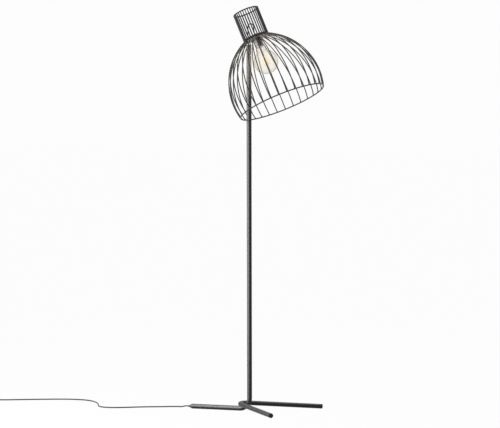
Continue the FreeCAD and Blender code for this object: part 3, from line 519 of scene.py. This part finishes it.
def plug_housing():
    """Flat moulded plug with grip grooves in its shoulders and a shallow thumb rest on both faces."""
    half = [(0, 8), (10.1, 17.5), (25.2, 17.5), (36, 13)]
    corners = [(x, -y) for x, y in half] + [(x, y) for x, y in reversed(half)]
    corner, step = 3, 0.4
    outline = rounded_outline(corners, [corner] * len(corners), step)
    thickness, edge, edge_steps = 13.7, 1.6, 6
    grip_start, grip_length, grip_pitch, grip_depth, throat = 1.4, 8.4, 2.1, 0.35, 8.6

    def groove(point):
        along = point.x - grip_start
        if abs(point.y) < throat or not 0 < along < grip_length:
            return 0
        return grip_depth * (1 - math.cos(2 * math.pi * along / grip_pitch))

    shape = bmesh.new()
    angles = [math.pi / 2 * number / edge_steps for number in range(edge_steps + 1)]
    rounding = [(edge * (1 - math.sin(angle)), edge * (1 - math.cos(angle))) for angle in angles]
    levels = rounding + [(inset, thickness - height) for inset, height in reversed(rounding)]
    loops = []
    for inset, height in levels:
        fade = 1 - inset / edge
        loops.append([shape.verts.new((*(point - normal * (inset + groove(point) * fade)), height))
                      for point, normal in outline])
    for ends, way in ((loops[0], -1), (loops[-1], 1)):
        rim = [Vector((vertex.co.x, vertex.co.y)) for vertex in ends]
        middle = Vector((17.5, 0))
        rings = [ends]
        thumb_rest = ((0.74, 0), (0.71, 0.12), (0.68, 0.4), (0.3, 0.65))
        for scale, sink in thumb_rest:
            level = ends[0].co.z - way * sink
            rings.append([shape.verts.new((*(middle + (point - middle) * scale), level)) for point in rim])
        for outer, inner in zip(rings, rings[1:]):
            band(shape, outer, inner)
        shape.faces.new(rings[-1])
    for lower, upper in zip(loops, loops[1:]):
        band(shape, lower, upper)
    bmesh.ops.recalc_face_normals(shape, faces=shape.faces)
    heading = Vector((17.5, -10.1, 0)).normalized()
    sleeve_length, lead_height = 16, Vector((0, 0, 6.85)) * MM
    back = coil_middle + Vector((95.1, -32.0, 0)) * MM + heading * sleeve_length * MM
    turn = math.atan2(heading.y, heading.x)
    shape.transform(Matrix.Translation(back) @ Matrix.Rotation(turn, 4, "Z") @ Matrix.Scale(MM, 4))
    dress(keep_mesh("plug_housing", shape), "cord_black", "stand", "plug_body")
    spigot = [(0, -4), (4.6, -4), (4.6, 0)]
    sleeve = ribbed_sleeve(root=5.4, tip=3.3, length=sleeve_length, ribs=4, collar=1.6)
    dress(turned("plug_sleeve", spigot + sleeve, aimed(back + lead_height, -heading)),
          "cord_black", "stand", "plug_relief")


def foot_button():
    """Button with raised rings for the foot and a domed middle."""
    top, valley, ring_pitch = 25.0, 24.5, 1.7
    stem = [(0, 12.3), (2.5, 12.3), (2.5, 22.8)]
    skirt = [(10.5, 22.8), (10.5, 15.65), (14.5, 15.65), (14.5, 17.65), (12.5, 17.65)]
    profile = stem + skirt + [(12.5, 23.7), (12.2, 24.4), (11.6, 24.8)]
    radius = 11.0
    while radius > 3.5:
        profile += [(radius, top), (radius - 0.7, top), (radius - 0.9, valley), (radius - 1.5, valley)]
        radius -= ring_pitch
    profile += [(1.6, 24.7), (0, 24.8)]
    place = Matrix.Translation(Vector((switch_middle.x, switch_middle.y, 0)))
    dress(turned("foot_button", profile, place, 96), "cap_plastic", "switch_button", "switch_button")


def press_spring():
    """Open coil under the foot button; on the real switch it closes up as the button goes down."""
    low, high, radius, turns, per_turn, wire = 7.6, 22.1, 7.0, 3.5, 14, 0.0012
    swell = 1 / math.cos(math.pi / per_turn)
    points = []
    for step in range(round(turns * per_turn) + 1):
        angle = 2 * math.pi * step / per_turn
        points.append(Vector((radius * swell * math.cos(angle), radius * swell * math.sin(angle),
                              low + (high - low) * step / (turns * per_turn))) * MM)
    piece = keep_line("press_spring", flex_curve("spring_line", points, wire))
    middle = Vector((switch_middle.x, switch_middle.y, 0))
    piece.data.transform(Matrix.Translation(middle))
    dress(piece, "zinc_steel", "stand", "switch_spring")
    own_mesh(piece)


def weld_beads():
    """A small bead where each wire is welded to the rim, to the collar's ring and to the plate."""
    wire_count, wire_phase = 32, 0.14
    rim, top_ring, plate = (170.0, -267.2, 2.6, 2.3), (48.9, 109.3, 2.4, 2.2), (48.0, 4.0, 1.7, 2.8)
    shape = bmesh.new()
    for number in range(wire_count):
        turn = math.pi + 2 * math.pi * (number + wire_phase) / wire_count
        for radius, height, width, tall in (rim, top_ring, plate):
            place = (head_place @ Matrix.Rotation(turn, 4, "Z")
                     @ Matrix.Translation(Vector((radius, 0, height)) * MM)
                     @ Matrix.Diagonal((width * MM, width * MM, tall * MM, 1)))
            bmesh.ops.create_icosphere(shape, subdivisions=2, radius=1, matrix=place)
    dress(keep_mesh("cage_weld_beads", shape), "shade_black", "shade_head")


def collar_lead():
    """Lead from the pole's end over the hinge and down into the lampholder."""
    up, over = pole_axis.x / MM - 4.2, pole_axis.x / MM + 19.6
    pole_end, bend, top = 1420, 1470.4, 1494.2
    route = [Vector(place) for place in ((up, 0, pole_end), (up, 0, bend), (up, 0, top), (over, 0, top))]
    along = Vector((-math.sin(lean), 0, math.cos(lean)))
    route += [shade_foot / MM + along * height for height in (26, 8, -6.5)]
    points = [place * MM for place in route]
    line = flex_curve("lead_line", points, 0)
    path = [vertex.co.copy() for vertex in bpy.data.meshes.new_from_object(line).vertices]
    line.data.bevel_depth = 0.002
    piece = keep_line("collar_lead", line)
    piece.data.materials.clear()
    piece.data.materials.append(finishes["cord_black"])
    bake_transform(piece)
    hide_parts("head_lead")


leg_end()
arm_caps()
coil_strap()
plug_housing()
switch_reliefs()
foot_button()
press_spring()
weld_beads()
collar_lead()


# ------------------------------------------------------------ floor and light
def by_ray(tree, plain, matt):
    """Plain white to the eye, to gloss and to glass; dimmer as light on the object."""
    seen = (tree.node("ShaderNodeLightPath", output="Is Camera Ray")
            + tree.node("ShaderNodeLightPath", output="Is Glossy Ray")
            + tree.node("ShaderNodeLightPath", output="Is Transmission Ray")).least(1.0)
    return matt + seen * (plain - matt)


def paper_floor():
    """White floor: nearly plain to the eye, dim to the object, with a faint shadow."""
    shape = bmesh.new()
    bmesh.ops.create_grid(shape, x_segments=1, y_segments=1, size=60)
    floor = keep_mesh("floor", shape, smooth=False)
    paper = new_finish("floor_paper")
    paper.surface(
        Base_Color=grey(0.03),
        Roughness=1.0,
        Specular_IOR_Level=0.0,
        Emission_Color=grey(1.0),
        Emission_Strength=by_ray(paper, 0.97, 0.11))
    floor.data.materials.append(paper.owner)


def pale_room():
    """World: nearly white to the eye, dim to the object."""
    bpy.context.scene.world = bpy.data.worlds.new("room")
    room = Nodes(bpy.context.scene.world)
    sky = room.node("ShaderNodeBackground", None, {
        "Color": grey(1.0), "Strength": by_ray(room, 0.98, 0.12)})
    room.node("ShaderNodeOutputWorld", None, {"Surface": sky})


def lamp_for(light, place, receivers):
    """Puts a light in the scene; where receivers are named, it reaches only those."""
    lamp = in_scene(bpy.data.objects.new(light.name, light))
    lamp.matrix_world = place
    if receivers:
        chosen = bpy.data.collections.new(light.name + "_reaches")
        for piece in receivers:
            chosen.objects.link(piece)
        lamp.light_linking.receiver_collection = chosen
    return lamp


def coated(*slots):
    """The CAD nodes in these finishes."""
    return [frame["nodes"][name] for name, slot in node_slots.items() if slot in slots]


def softbox(name, azimuth, elevation, distance, aim, size, level, sheen):
    """Panel that lights everything, and before it one that only shows as gloss on the stand and the cup."""
    turn, rise, gap = math.radians(azimuth), math.radians(elevation), 0.1
    back = Vector((math.sin(turn) * math.cos(rise), -math.cos(turn) * math.cos(rise), math.sin(rise)))
    facing = back.to_track_quat("Z", "Y").to_matrix().to_4x4()
    glossy = coated("stand_black") + [frame["nodes"]["holder_cup"], bpy.data.objects["leg_end"]]
    width, height = size
    for part, brightness, nearer, receivers in (("panel", level, 0, []), ("sheen", sheen, gap, glossy)):
        light = bpy.data.lights.new(name + "_" + part, "AREA")
        light.shape = "RECTANGLE"
        light.size, light.size_y = width, height
        light.energy = brightness * math.pi * width * height
        place = Matrix.Translation(Vector(aim) + back * (distance - nearer)) @ facing
        lamp = lamp_for(light, place, receivers)
        lamp.visible_diffuse = part == "panel"


def bulb_light():
    """Warm glow that the lit bulb lays on the cage, the cup and the pole, through its glass."""
    bulb_middle = -96 * MM
    glow = bpy.data.lights.new("bulb_glow", "POINT")
    glow.energy = 5.5
    glow.color = (1.0, 0.79, 0.55)
    glow.shadow_soft_size = 0.045
    warmed = coated("stand_black", "shade_black") + [bpy.data.objects["cage_weld_beads"]]
    lamp = lamp_for(glow, head_place @ Matrix.Translation((0, 0, bulb_middle)), warmed)
    lamp.visible_camera = lamp.visible_glossy = lamp.visible_transmission = False
    frame["nodes"]["bulb_glass"].visible_shadow = False


paper_floor()
pale_room()
softbox("key_left", azimuth=-34, elevation=0, distance=1.5, aim=(0, 0, 0.85), size=(2.4, 1.7),
        level=2.4, sheen=15.0)
softbox("high_left", azimuth=-36, elevation=62, distance=2.2, aim=(-0.1, 0, 0.1), size=(1.6, 1.5),
        level=1.5, sheen=19.0)
softbox("overhead", azimuth=150, elevation=78, distance=2.4, aim=(0.1, 0.1, 0.1), size=(1.4, 1.2),
        level=0.5, sheen=10.0)
bulb_light()
